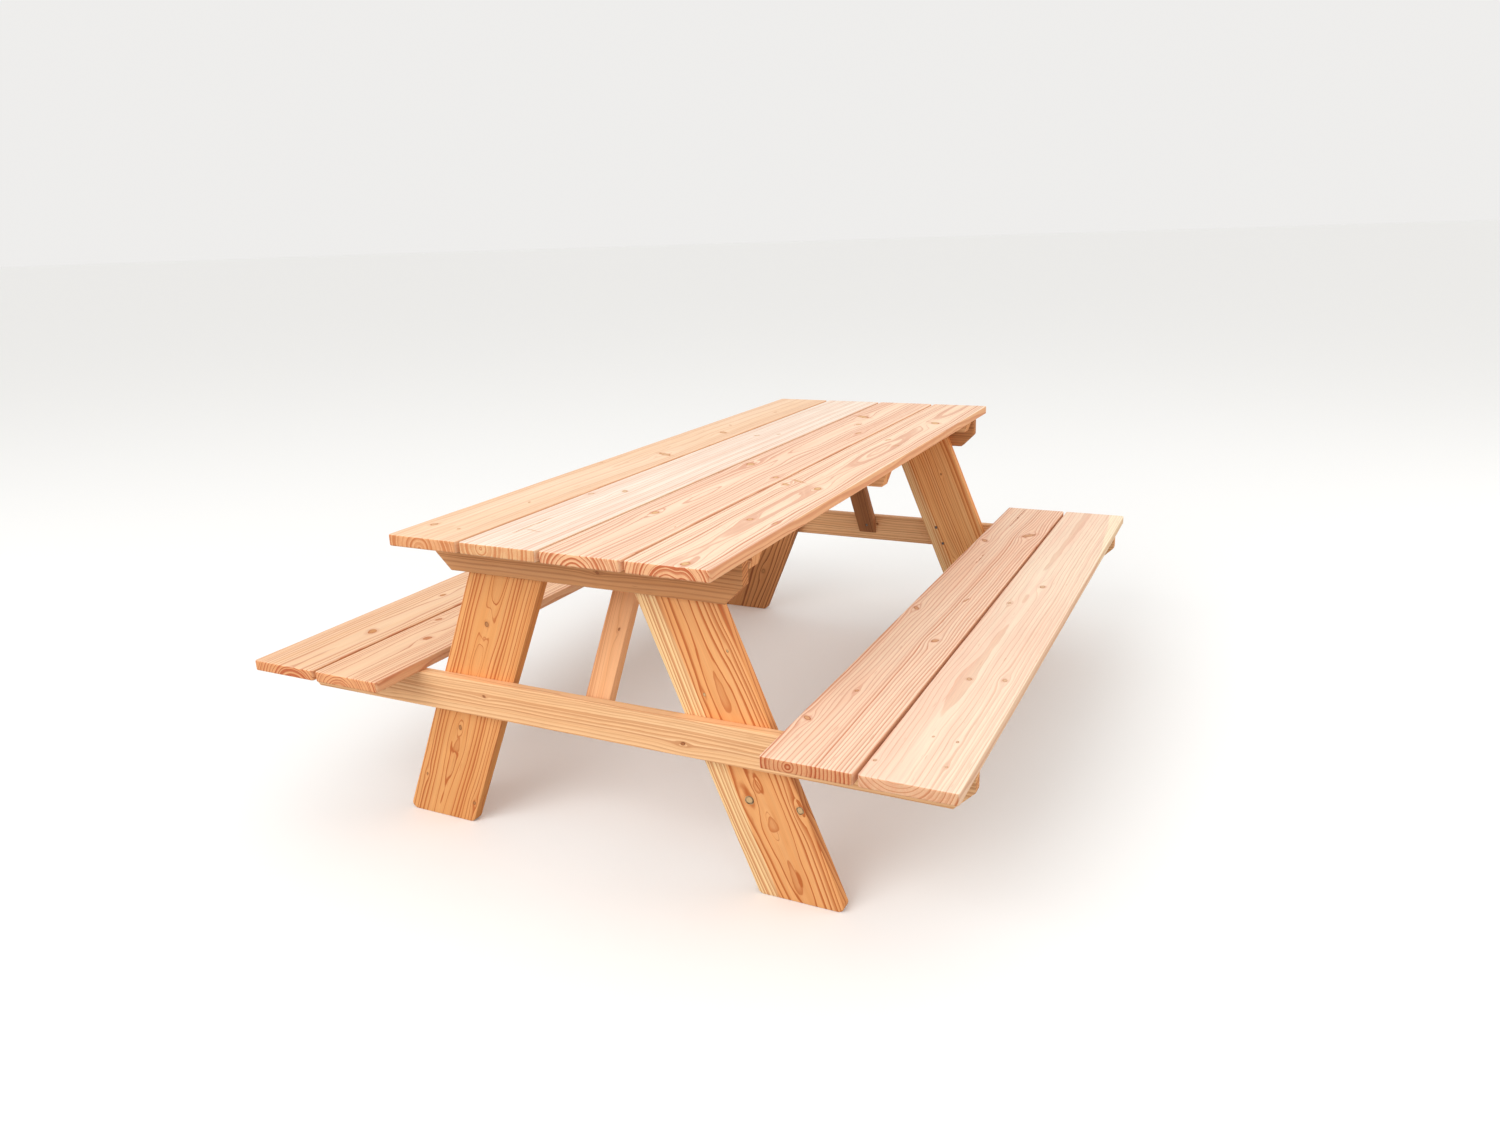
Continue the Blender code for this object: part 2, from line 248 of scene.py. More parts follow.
def times_plus(tree, first, second, more):
    """The product of two numbers and more added to it."""
    return work(tree, "MULTIPLY_ADD", first, second, more)


def squares(tree, first, second):
    """The sum of the squares of two numbers."""
    return times_plus(tree, first, first, times(tree, second, second))


def between(tree, value, low, high, bottom=0.0, top=1.0):
    """A smooth step from bottom to top as the value goes from low to high."""
    values = {"Value": value, 1: low, 2: high, 3: bottom, 4: top}
    return feed(tree, "MapRange", values, interpolation_type="SMOOTHSTEP")


def blend(tree, part, first, second, way="MIX"):
    """The first colour, turned by this part into the second, or multiplied by it."""
    return feed(tree, "Mix", {0: part, 6: first, 7: second}, out=2, data_type="RGBA", blend_type=way)


def noise(tree, place, scale, detail=2.0, rough=0.5, out=0):
    """Soft noise in three dimensions, about 0.3 to 0.7."""
    values = {"Vector": place, "Scale": scale, "Detail": detail, "Roughness": rough}
    return feed(tree, "TexNoise", values, out=out)


def drawn_out(tree, place, swells, detail, rough=0.5):
    """Noise with so many swells to a metre across the grain, along it and through the timber."""
    stretched = feed(tree, "VectorMath", (place, swells), operation="MULTIPLY")
    return noise(tree, stretched, 1.0, detail, rough)


def dimmed(tree, colour, part):
    """The colour with only this part of its light."""
    return blend(tree, 1.0, colour, feed(tree, "CombineXYZ", (part, part, part)), "MULTIPLY")


def new_material(name):
    """A material, its node tree and the inputs of its Principled shader."""
    material = bpy.data.materials.new(name)
    material.use_nodes = True
    tree = material.node_tree
    return material, tree, tree.nodes["Principled BSDF"].inputs


def new_group(name, inputs, outputs):
    """An empty node group with these sockets: its tree, its inputs by name and its outputs."""
    tree = bpy.data.node_groups.new(name, "ShaderNodeTree")
    for label, kind, value in inputs:
        socket = tree.interface.new_socket(label, in_out="INPUT", socket_type="NodeSocket" + kind)
        socket.default_value = value
    for label, kind in outputs:
        tree.interface.new_socket(label, in_out="OUTPUT", socket_type="NodeSocket" + kind)
    given = tree.nodes.new("NodeGroupInput").outputs
    results = tree.nodes.new("NodeGroupOutput").inputs
    return tree, given, results


def paint(red, green, blue):
    """A colour as paint charts give it, from 0 to 255, made linear."""
    chart = np.array((red, green, blue)) / 255
    linear = np.where(chart <= 0.04045, chart / 12.92, ((chart + 0.055) / 1.055) ** 2.4)
    return (*linear.tolist(), 1.0)


# A knot: how hard it parts the grain, how softly at its heart and how slowly that fades along
# it, how much narrower than long its swell of the rings is, how a pool tapers, and the marks
# of a pool and of a place with no knot.
PARTING = -3.4
PARTING_CORE = 1.6
FADE_ALONG = 0.36
SWELL_NARROWING = 3.2
POOL_TAPER = 0.45
POOL_ONLY = -20.0
NO_KNOT = -9.0


def knot_group():
    """A branch in the wood: the grain parts round it, rises over it, and it has its own wood.

    Shift is how far the grain line at a point has been pushed across, as a stream is by a post:
    offset * radius^2 / distance^2. Rise is a swell of the growth rings, a bell of the given
    lift and reach. Knot is 1 at a branch's heart and 0 at its rim. With Fill at 1 there is no
    branch, only a pool of dark late wood where a ring just grazes the face.
    """
    inputs = (
        ("Place", "Vector", (0, 0, 0)), ("Across", "Float", 0), ("Along", "Float", 0),
        ("Radius", "Float", 0.01), ("Lean", "Float", 0), ("Stretch", "Float", 1),
        ("Lift", "Float", 0), ("Reach", "Float", 0.06), ("Fill", "Float", 0),
        ("Shift", "Float", 0), ("Rise", "Float", 0), ("Knot", "Float", NO_KNOT), ("Pool", "Float", 0),
    )
    outputs = (("Shift", "Float"), ("Rise", "Float"), ("Knot", "Float"), ("Pool", "Float"))
    tree, given, results = new_group("knot in the grain", inputs, outputs)
    middle = feed(tree, "CombineXYZ", (given["Across"], given["Along"], 0))
    offset = feed(tree, "VectorMath", (given["Place"], middle), operation="SUBTRACT")
    dx, dy, _ = parted(tree, offset)
    radius_squared = times(tree, given["Radius"], given["Radius"])
    long = times(tree, dy, FADE_ALONG)
    distance = times_plus(tree, radius_squared, PARTING_CORE, squares(tree, dx, long))
    push = work(tree, "DIVIDE", times(tree, dx, radius_squared), distance)
    shift = times_plus(tree, push, PARTING, given["Shift"])

    wide = work(tree, "DIVIDE", times(tree, dx, SWELL_NARROWING), given["Reach"])
    far = work(tree, "DIVIDE", dy, given["Reach"])
    bell = work(tree, "EXPONENT", times(tree, squares(tree, wide, far), -1.0))
    rise = times_plus(tree, bell, given["Lift"], given["Rise"])

    lean = {"Vector": offset, "Angle": given["Lean"]}
    broad, long, _ = parted(tree, feed(tree, "VectorRotate", lean, rotation_type="Z_AXIS"))
    half_length = times(tree, given["Stretch"], given["Radius"])
    length = work(tree, "DIVIDE", long, half_length)
    taper = times_plus(tree, times(tree, length, given["Fill"]), POOL_TAPER, 1.0)
    breadth = times(tree, work(tree, "DIVIDE", broad, given["Radius"]), taper)
    size = work(tree, "SQRT", squares(tree, breadth, length))
    inside = work(tree, "SUBTRACT", 1.0, size)
    knot = times_plus(tree, given["Fill"], POOL_ONLY, inside)
    fading = between(tree, inside, 0.1, 0.6, 1.0, 0.5)
    pool = times(tree, between(tree, inside, 0.0, 0.12), fading)
    pool = times(tree, pool, given["Fill"])
    knot = work(tree, "MAXIMUM", given["Knot"], knot)
    pool = work(tree, "MAXIMUM", given["Pool"], pool)
    plug(tree, results, {"Shift": shift, "Rise": rise, "Knot": knot, "Pool": pool})
    return tree


# Swells to a metre across the grain, along it and through the timber: the drift of the heart
# in any direction, the waves of a ring, soft clouds and streaks of colour, fibres, resin
# flecks, gaps in the rim of a knot, and the marks of the saw on an end.
DRIFT = 1.7
RING_WAVES = (15.0, 2.6, 15.0)
CLOUDS = (7.0, 1.3, 7.0)
STREAKS = (60.0, 0.9, 60.0)
FIBRES = (420.0, 9.0, 420.0)
FLECKS = (260.0, 16.0, 260.0)
RIM_GAPS = (70.0, 70.0, 70.0)
SAW_MARKS = (900.0, 40.0, 60.0)
RING_SWAY = 1.3
LATE_SHARPNESS = 1.8
POOL_SHADE = 0.8


def softwood_group():
    """Planed softwood cut from a log whose heart runs beside or under the board.

    A point's ring is its distance from the heart, which wanders along the grain, in ring
    widths: each ring darkens slowly from pale early wood to its late wood and then starts
    again, and no two rings are equally strong. Where the face only grazes a ring, over the
    heart, its late wood is drawn as a line. Fibres, resin flecks, blushes and sapwood lie
    over the rings; the sawn ends are darker and show the same rings as arcs. The long
    sides are darkened with the sawn-end colour too, as painted shade, as in the gaps
    between boards.
    """
    inputs = (
        ("Place", "Vector", (0, 0, 0)), ("End Grain", "Float", 0), ("Side", "Float", 0),
        ("Seed", "Float", 0), ("Heart Across", "Float", 0), ("Heart Depth", "Float", -0.03),
        ("Wander", "Float", 0.01), ("Ring", "Float", 0.005), ("Uneven", "Float", 1.3),
        ("Strength", "Float", 0.7), ("Shift", "Float", 0), ("Rise", "Float", 0),
        ("Knot", "Float", NO_KNOT), ("Pool", "Float", 0),
        ("Early Wood", "Color", (1, 1, 1, 1)), ("Late Wood", "Color", (1, 1, 1, 1)),
        ("Blush", "Color", (1, 1, 1, 1)), ("Sapwood", "Color", (1, 1, 1, 1)),
        ("Sap Side", "Float", 1), ("Sap Line", "Float", 1), ("Sap Slope", "Float", 0),
        ("Branch Wood", "Color", (1, 1, 1, 1)), ("Knot Rim", "Color", (1, 1, 1, 1)),
        # How far the long sides take the sawn-end colour: painted shade on the sides.
        ("Sawn End", "Color", (1, 1, 1, 1)), ("Edge", "Float", 0.7),
    )
    outputs = (("Color", "Color"), ("Roughness", "Float"), ("Height", "Float"))
    tree, given, results = new_group("planed softwood", inputs, outputs)
    x, y, z = parted(tree, given["Place"])
    seed, ends = given["Seed"], given["End Grain"]

    drift_place = feed(tree, "CombineXYZ", (seed, y, times(tree, seed, 0.37)))
    drift = parted(tree, noise(tree, drift_place, DRIFT, 2.0, out=1), "SeparateColor")
    aside = times(tree, work(tree, "SUBTRACT", drift[0], 0.5), given["Wander"])
    depth = times(tree, work(tree, "SUBTRACT", drift[1], 0.5), given["Wander"])
    from_heart = work(tree, "ADD", work(tree, "SUBTRACT", x, given["Heart Across"]), given["Shift"])
    from_heart = work(tree, "ADD", from_heart, aside)
    above_heart = work(tree, "ADD", work(tree, "SUBTRACT", z, given["Heart Depth"]), depth)
    radius = work(tree, "SQRT", squares(tree, above_heart, from_heart))
    sizes = work(tree, "ABSOLUTE", from_heart), work(tree, "ABSOLUTE", above_heart)
    to_face = feed(tree, "Mix", {0: given["Side"], 2: sizes[0], 3: sizes[1]})
    steep = work(tree, "MAXIMUM", work(tree, "DIVIDE", to_face, radius), ends)
    radius = work(tree, "ADD", radius, given["Rise"])

    local = feed(tree, "CombineXYZ", (seed, 0.0, seed))
    local = feed(tree, "VectorMath", (given["Place"], local), operation="ADD")
    wave = work(tree, "SUBTRACT", drawn_out(tree, local, RING_WAVES, 3.0), 0.5)
    radius = times_plus(tree, wave, times(tree, given["Ring"], RING_SWAY), radius)
    years = work(tree, "DIVIDE", radius, given["Ring"])
    slow = {"W": times_plus(tree, years, 0.21, seed), "Detail": 1.0}
    uneven = feed(tree, "TexNoise", slow, noise_dimensions="1D")
    years = times_plus(tree, uneven, given["Uneven"], years)
    within = work(tree, "FRACT", years)
    year = work(tree, "ADD", work(tree, "FLOOR", years), seed)
    this_year = feed(tree, "TexWhiteNoise", {"W": year}, noise_dimensions="1D")
    onset = between(tree, steep, 0.08, 0.6, 0.82, 0.12)
    late = work(tree, "POWER", between(tree, within, onset, 0.90), LATE_SHARPNESS)
    late = work(tree, "MAXIMUM", late, times(tree, within, 0.2))
    late = times(tree, late, between(tree, within, 0.94, 1.0, 1.0, 0.0))
    late = times(tree, late, times_plus(tree, this_year, 0.55, 0.6))
    late = times(tree, late, between(tree, steep, 0.15, 0.65, 0.72, 1.0))
    strength = times_plus(tree, ends, 0.5, given["Strength"])
    edge = times_plus(tree, y, given["Sap Slope"], given["Sap Line"])
    edge = times_plus(tree, wave, 0.03, edge)
    beyond = work(tree, "SUBTRACT", times(tree, x, given["Sap Side"]), edge)
    sapwood = between(tree, beyond, -0.002, 0.003)
    strength = times(tree, strength, times_plus(tree, sapwood, -0.3, 1.0))
    late = work(tree, "MINIMUM", times(tree, late, strength), 1.0)
    late = work(tree, "MAXIMUM", late, times(tree, given["Pool"], POOL_SHADE))

    cloud = between(tree, drawn_out(tree, local, CLOUDS, 3.0), 0.36, 0.66)
    streak = between(tree, drawn_out(tree, local, STREAKS, 2.0), 0.40, 0.64)
    cloud = times_plus(tree, streak, 0.55, times(tree, cloud, 0.45))
    fibre = drawn_out(tree, local, FIBRES, 2.0, 0.6)
    fleck = between(tree, drawn_out(tree, local, FLECKS, 1.0), 0.71, 0.78)

    colour = blend(tree, cloud, given["Early Wood"], given["Blush"])
    colour = blend(tree, sapwood, colour, given["Sapwood"])
    colour = blend(tree, late, colour, given["Late Wood"])
    colour = dimmed(tree, colour, times_plus(tree, fibre, 0.30, 0.85))
    colour = blend(tree, times(tree, fleck, 0.35), colour, given["Late Wood"])

    knot = given["Knot"]
    swirl = times_plus(tree, wave, 6.0, times(tree, knot, 24.0))
    swirl = work(tree, "SINE", swirl)
    halo = times_plus(tree, swirl, 0.16, 0.3)
    halo = times(tree, between(tree, knot, -1.0, 0.0), halo)
    colour = blend(tree, halo, colour, given["Late Wood"])
    branch = dimmed(tree, given["Branch Wood"], times_plus(tree, swirl, 0.16, 0.84))
    fading = between(tree, knot, 0.2, 0.45, 1.0, 0.0)
    rim = times(tree, between(tree, knot, -0.05, 0.08), fading)
    gaps = between(tree, drawn_out(tree, local, RIM_GAPS, 1.0), 0.36, 0.58, 0.4)
    rim = times(tree, rim, gaps)
    branch = blend(tree, times(tree, rim, 0.95), branch, given["Knot Rim"])
    colour = blend(tree, between(tree, knot, -0.04, 0.1), colour, branch)
    # The end grain is darker in its own right; the long sides are darkened by the same colour as painted
    # shade.
    sawn_and_side_shade = work(tree, "MAXIMUM", ends, times(tree, given["Side"], given["Edge"]))
    colour = blend(tree, sawn_and_side_shade, colour, given["Sawn End"], "MULTIPLY")

    roughness = times_plus(tree, late, -0.10, 0.62)
    roughness = times_plus(tree, fibre, 0.16, roughness)
    roughness = times_plus(tree, ends, 0.18, roughness)
    torn = times(tree, drawn_out(tree, local, SAW_MARKS, 1.0), ends)
    height = times_plus(tree, fibre, 0.5, times(tree, late, 0.35))
    height = times_plus(tree, torn, 0.9, height)
    height = times_plus(tree, rim, -0.7, height)
    plug(tree, results, {"Color": colour, "Roughness": roughness, "Height": height})
    return tree


KNOT = knot_group()
SOFTWOOD = softwood_group()
SEED_STEP = 3.7
STIR_SWELLS = 34.0
STIR = (0.007, 0.012, 0.0)
GRAIN_DEPTH = 0.0006
GRAIN_STRENGTH = 0.6
SHEEN = 0.35
KNOT_PARTS = ("Across", "Along", "Radius", "Lean", "Stretch", "Lift", "Reach", "Fill")
LEAN = KNOT_PARTS.index("Lean")


def swell(across, along, lift, reach):
    """A swell of the rings with no branch in it, in the form of a knot."""
    return (across, along, 0.0001, 0, 1, lift, reach)


def softwood(name, place, look, knots):
    """The wood of one timber: the softwood group in the timber's own lay, with its knots.

    A knot is its place across and along the grain, its radius, its lean in degrees, its length
    over its breadth, how far the rings rise over it and how far along that reaches, and an
    eighth number, 1, if it is only a pool of late wood.
    """
    material, tree, shader = new_material(name)
    held = feed(tree, "TexCoord").node.outputs
    turn = tuple(place.to_euler())
    values = {"Vector": held["Object"], "Location": tuple(place.translation), "Rotation": turn}
    own = feed(tree, "Mapping", values, vector_type="TEXTURE")

    def facing(axis, high):
        toward = (held["Normal"], tuple(place.to_3x3().col[axis]))
        toward = feed(tree, "VectorMath", toward, out=1, operation="DOT_PRODUCT")
        return between(tree, work(tree, "ABSOLUTE", toward), 0.45, high)

    stir = (noise(tree, own, STIR_SWELLS, 2.0, out=1), (0.5, 0.5, 0.5))
    stir = feed(tree, "VectorMath", stir, operation="SUBTRACT")
    stirred = feed(tree, "VectorMath", (stir, STIR, own), operation="MULTIPLY_ADD")
    chain = {"Shift": 0.0, "Rise": 0.0, "Knot": NO_KNOT, "Pool": 0.0}
    for knot in knots:
        values = {**dict(zip(KNOT_PARTS, knot)), "Lean": math.radians(knot[LEAN])}
        branch = feed(tree, "Group", {"Place": stirred, **values, **chain}, node_tree=KNOT).node
        chain = {label: branch.outputs[label] for label in chain}

    values = {"Place": own, "End Grain": facing(1, 0.8), "Side": facing(0, 0.9), **chain, **look}
    wood = feed(tree, "Group", values, node_tree=SOFTWOOD).node.outputs
    grain = {"Strength": GRAIN_STRENGTH, "Distance": GRAIN_DEPTH, "Height": wood["Height"]}
    plug(tree, shader, {
        "Base Color": wood["Color"], "Roughness": wood["Roughness"],
        "Normal": feed(tree, "Bump", grain), "Specular IOR Level": SHEEN,
    })
    return material


def mirrored(reach):
    """Where a timber starts and stops if both its ends reach this far out at x, z."""
    return (lambda x, z: -reach(x, z)), reach


def planed_board(node, slot, seed, look, knots):
    """A board laid flat, filling its CAD node's box, with its best face up.

    It is cut square across, with its corners rounded to an arc: past the point where the arc
    starts, the end falls back by corner - sqrt(corner^2 - past^2).
    """
    low, high = np.array(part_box(node))
    width, length, thickness = high - low
    place = lay((low + high) / 2, (0, 1, 0), (0, 0, 1))

    def reach(x, z):
        past = np.clip(np.abs(x) - (width / 2 - BOARD_CORNER), 0, BOARD_CORNER)
        return length / 2 - (BOARD_CORNER - np.sqrt(BOARD_CORNER**2 - past**2))

    size, cuts = (width, thickness), mirrored(reach)
    return timber(node, slot, place, size, BOARD_EASE, *cuts, BOARD_ROWS, seed, look, knots)


# A look's sawn-end colour also darkens the long sides of the boards, as painted shade in the gaps between
# them.
PINK_BOARD = {
    "Early Wood": paint(253, 226, 197), "Blush": paint(250, 213, 183), "Late Wood": paint(206, 128, 92),
    "Branch Wood": paint(243, 196, 140), "Knot Rim": paint(190, 112, 66),
    "Sawn End": (0.86, 0.63, 0.45, 1),
}
HONEY_BOARD = {
    **PINK_BOARD, "Early Wood": paint(249, 217, 186), "Blush": paint(244, 205, 168),
    "Late Wood": paint(214, 150, 104), "Branch Wood": paint(238, 188, 140),
    "Sawn End": (0.84, 0.60, 0.42, 1),
}
CREAM_BOARD = {
    **PINK_BOARD, "Early Wood": paint(250, 238, 221), "Blush": paint(245, 215, 195),
    "Late Wood": paint(222, 165, 132), "Branch Wood": paint(243, 206, 162),
    "Sawn End": (0.82, 0.56, 0.33, 1),
}
TOP_LOOKS = (
    {**HONEY_BOARD, "Heart Across": -0.006, "Heart Depth": -0.011, "Wander": 0.03, "Ring": 0.011,
     "Strength": 0.42},
    {**CREAM_BOARD, "Heart Across": -0.0365, "Heart Depth": 0.005, "Wander": 0.02, "Ring": 0.0115,
     "Strength": 0.6},
    {**PINK_BOARD, "Early Wood": paint(253, 222, 194), "Blush": paint(249, 207, 177),
     "Heart Across": -0.015, "Heart Depth": -0.030, "Wander": 0.016, "Ring": 0.0088, "Strength": 0.7,
     "Sawn End": (0.88, 0.71, 0.53, 1)},
    {**PINK_BOARD, "Heart Across": 0.012, "Heart Depth": -0.032, "Wander": 0.012, "Ring": 0.0086,
     "Strength": 0.74, "Edge": 1.0},
)
TOP_KNOTS = (
    (
        (-0.054, -0.96, 0.008, 20, 1.3, 0.003, 0.05), (0.0285, -0.974, 0.0035, -30, 1.8, 0, 0.03),
        (0.023, -0.708, 0.003, -30, 2.0, 0, 0.03), (-0.078, -0.234, 0.0025, 20, 2.2, 0, 0.03),
        (0.036, -0.070, 0.010, -62, 3.0, 0.004, 0.07), (0.034, 0.31, 0.009, -55, 1.9, 0.003, 0.06),
        (-0.009, 0.447, 0.004, -40, 1.8, 0.002, 0.05), (0.023, 0.745, 0.004, 0, 1.5, 0.002, 0.05),
    ),
    (
        (-0.033, -0.89, 0.0022, 1, 34.0, 0, 0.08), (-0.083, -0.58, 0.006, 30, 1.4, 0.003, 0.05),
        (-0.015, -0.53, 0.007, -40, 1.6, 0.004, 0.07), (-0.036, 0.29, 0.006, 40, 1.6, 0.003, 0.08),
        (-0.001, -0.93, 0.0015, -80, 14.0, 0, 0.03), (0.02, 0.33, 0.005, 15, 1.5, 0.003, 0.06),
    ),
    (
        (-0.0324, -0.70, 0.0095, -15, 1.3, 0.004, 0.05), (-0.064, -0.128, 0.013, -30, 1.35, 0.005, 0.07),
        (0.074, -0.266, 0.008, 10, 1.3, 0.003, 0.05), swell(-0.001, -0.48, -0.005, 0.11),
        swell(0.004, 0.02, 0.007, 0.10), swell(-0.003, 0.20, -0.004, 0.14),
        (0.053, 0.415, 0.0075, 30, 1.5, 0.003, 0.05), (-0.006, 0.575, 0.009, 0, 1.1, 0.006, 0.05),
        (-0.043, 0.724, 0.012, -55, 2.6, 0.005, 0.08), (0.076, -0.80, 0.002, 0, 1.5, 0, 0.03),
    ),
    (
        (0.0315, -1.04, 0.010, 10, 1.3, -0.004, 0.13), (-0.0005, -0.687, 0.007, 25, 1.4, 0.003, 0.04),
        (0.0685, -0.70, 0.004, 0, 1.3, 0.002, 0.04), swell(0.006, -0.49, -0.0044, 0.20),
        (0.0265, -0.357, 0.010, -20, 1.5, 0.004, 0.05), (-0.0695, -0.335, 0.007, -50, 2.0, 0.003, 0.05),
        (-0.0535, -0.29, 0.0045, -58, 5.5, 0, 0.06), swell(0.010, 0.138, -0.007, 0.19),
        (0.0315, 0.245, 0.005, 30, 1.6, 0.003, 0.04), (-0.0235, 0.33, 0.005, 20, 2.2, 0.003, 0.05),
        (0.0265, 0.66, 0.013, -40, 1.5, 0.006, 0.09), swell(-0.0035, 0.96, -0.005, 0.20),
    ),
)
for number, (look, knots) in enumerate(zip(TOP_LOOKS, TOP_KNOTS), start=1):
    planed_board(f"top_board_{number}", "top_boards", number, look, knots)


# ---- Battens ---------------------------------------------------------------------------
# Three planed battens cross the underside of the boards, one behind each pair of legs and one
# in the middle, with their ends cut back. One countersunk screw goes up into each board.
FRAME_EASE = 0.0018
BATTEN_ROWS = 60
BATTEN_CUT_BACK = math.tan(math.radians(20))
HEAD_RADIUS = 0.0047
HEAD_HEIGHT = 0.004
SHANK_RADIUS = 0.0025
HOLE_SLACK = 0.0004
HOLE_AROUND = 20
PILOT_DEPTH = 0.006
SEAT_DEPTH = 0.0002


def turned_points(radius, height):
    """A profile of radii and heights turned about Z: a grid of stations by angles."""
    angle = np.linspace(0, 2 * np.pi, HOLE_AROUND, endpoint=False)
    circle = np.stack((np.cos(angle), np.sin(angle), 0 * angle), axis=1)
    axis = np.array((0.0, 0.0, 1.0))
    radius, height = np.array((radius, height))[..., None, None]
    return radius * circle + height * axis


def from_head(points, head, outward):
    """Points round Z moved so that Z looks outward and the origin is the screw head's top."""
    turn = np.array(Vector(outward).to_track_quat("Z", "Y").to_matrix())
    return points @ turn.T + np.array(head)


def carve(piece, tool):
    """Take this closed mesh out of a piece."""
    cutter = placed("cutter", tool)
    cut = piece.modifiers.new("cut", "BOOLEAN")
    cut.object = cutter
    cut.solver = "EXACT"
    finished = piece.evaluated_get(bpy.context.evaluated_depsgraph_get())
    mesh = bpy.data.meshes.new_from_object(finished)
    piece.modifiers.clear()
    piece.data = mesh
    bpy.data.objects.remove(cutter)


def bored(piece, heads, outward, reach=0.01):
    """Cut the countersunk holes for these screw heads, open for reach outside them."""
    wide, narrow = HEAD_RADIUS + HOLE_SLACK, SHANK_RADIUS + HOLE_SLACK
    bottom = -HEAD_HEIGHT - PILOT_DEPTH
    radius = (0, wide, wide, wide, narrow, narrow, 0)
    height = (reach, reach, 0, -SEAT_DEPTH, -HEAD_HEIGHT, bottom, bottom)
    points = turned_points(radius, height)
    bores = np.stack([from_head(points, head, outward) for head in heads])
    faces = grid_faces(len(radius), HOLE_AROUND)
    step = len(radius) * HOLE_AROUND
    faces = np.concatenate([faces + i * step for i in range(len(heads))])
    carve(piece, closed_mesh("bores", bores, faces))


def screw_head(node, outward):
    """Where the top of a screw's head is, from its CAD node's box and the way it looks."""
    low, high = map(Vector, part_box(node))
    middle, half, outward = (low + high) / 2, (high - low) / 2, Vector(outward)
    return middle + outward * abs(half.dot(outward))


DOWN = (0, 0, -1)
# Rails, battens and braces get no painted shade on their long sides.
TAN_RAIL = {
    "Early Wood": paint(248, 202, 152), "Blush": paint(243, 189, 136), "Late Wood": paint(190, 118, 68),
    "Branch Wood": paint(186, 116, 70), "Knot Rim": paint(120, 72, 40),
    "Sawn End": (0.92, 0.80, 0.68, 1),
    "Ring": 0.0055, "Wander": 0.012, "Strength": 0.65, "Edge": 0.0,
}
# The top cleats' wood is the tan rail colour darkened as painted shade, for the shade under the top.
PAINTED_SHADE_RAIL = {
    **TAN_RAIL, "Early Wood": paint(209, 152, 103), "Blush": paint(202, 142, 90),
    "Late Wood": paint(152, 92, 52),
}
BATTEN_HEARTS = {"front": (0.06, -0.03), "centre": (-0.05, 0.04), "rear": (0.05, 0.05)}
BATTEN_KNOTS = ((0.004, 0.21, 0.004, 0, 1.3, 0.002, 0.04),)

for seed, (end, (aside, deep)) in enumerate(BATTEN_HEARTS.items(), start=20):
    node = f"batten_{end}"
    low, high = np.array(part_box(node))
    half_length, width, height = (high - low) * (0.5, 1, 1)
    place = lay((low + high) / 2, (1, 0, 0), (0, 0, 1))
    look = {**TAN_RAIL, "Heart Across": aside, "Heart Depth": deep}
    cuts = mirrored(lambda x, z: half_length - (height / 2 - z) * BATTEN_CUT_BACK)
    size, rows = (width, height), BATTEN_ROWS
    batten = timber(node, "rails", place, size, FRAME_EASE, *cuts, rows, seed, look, BATTEN_KNOTS)
    bored(batten, [screw_head(f"screw_{node}_{number}", DOWN) for number in range(1, 5)], DOWN)


# ---- Legs ------------------------------------------------------------------------------
# Each leg is a single wide board, 22.6 degrees out of plumb and cut level at the foot and
# under the top. Legs were sawn near the heart: their broad faces show flame-shaped rings.
LEG_WIDTH = 0.191
LEG_SPLAY = math.radians(22.6)
FOOT_CORNER = 0.015
LEG_ROWS = 90
ORANGE_LEG = {
    "Early Wood": paint(240, 176, 114), "Blush": paint(236, 165, 100), "Late Wood": paint(194, 106, 50),
    "Sapwood": paint(250, 212, 156), "Branch Wood": paint(196, 134, 82), "Knot Rim": paint(130, 80, 42),
    "Sawn End": (0.86, 0.72, 0.56, 1), "Wander": 0.016, "Strength": 1.35, "Ring": 0.0078,
}
LEG_LOOKS = {
    # The front left leg's colours are darker and more orange: partly the leg's own tone, partly painted
    # shade for the shadow under the top.
    "front_left": {
        "Heart Across": -0.012, "Heart Depth": -0.030, "Early Wood": paint(236, 171, 107),
        "Blush": paint(230, 158, 92),
    },
    "front_right": {
        "Heart Across": 0.014, "Heart Depth": -0.034, "Sap Side": -1.0, "Sap Line": 0.050,
        "Branch Wood": paint(222, 184, 134), "Knot Rim": paint(46, 28, 18),
        "Early Wood": paint(241, 178, 117), "Blush": paint(237, 166, 101),
    },
    # The rear left leg's colours are darkened as painted shade under the table.
    "rear_left": {
        "Heart Across": 0.03, "Heart Depth": 0.05, "Early Wood": paint(214, 150, 96), "Ring": 0.011,
        "Blush": paint(204, 136, 82), "Late Wood": paint(148, 84, 40), "Strength": 1.2,
    },
    # The rear right leg's colours are lightened as painted light on its inner face, which lies in the shade
    # under the table.
    "rear_right": {
        "Heart Across": -0.12, "Heart Depth": 0.035, "Sap Side": 1.0, "Sap Line": 0.06,
        "Early Wood": paint(252, 198, 136), "Blush": paint(250, 182, 114), "Late Wood": paint(212, 122, 62),
        "Strength": 1.0,
    },
}
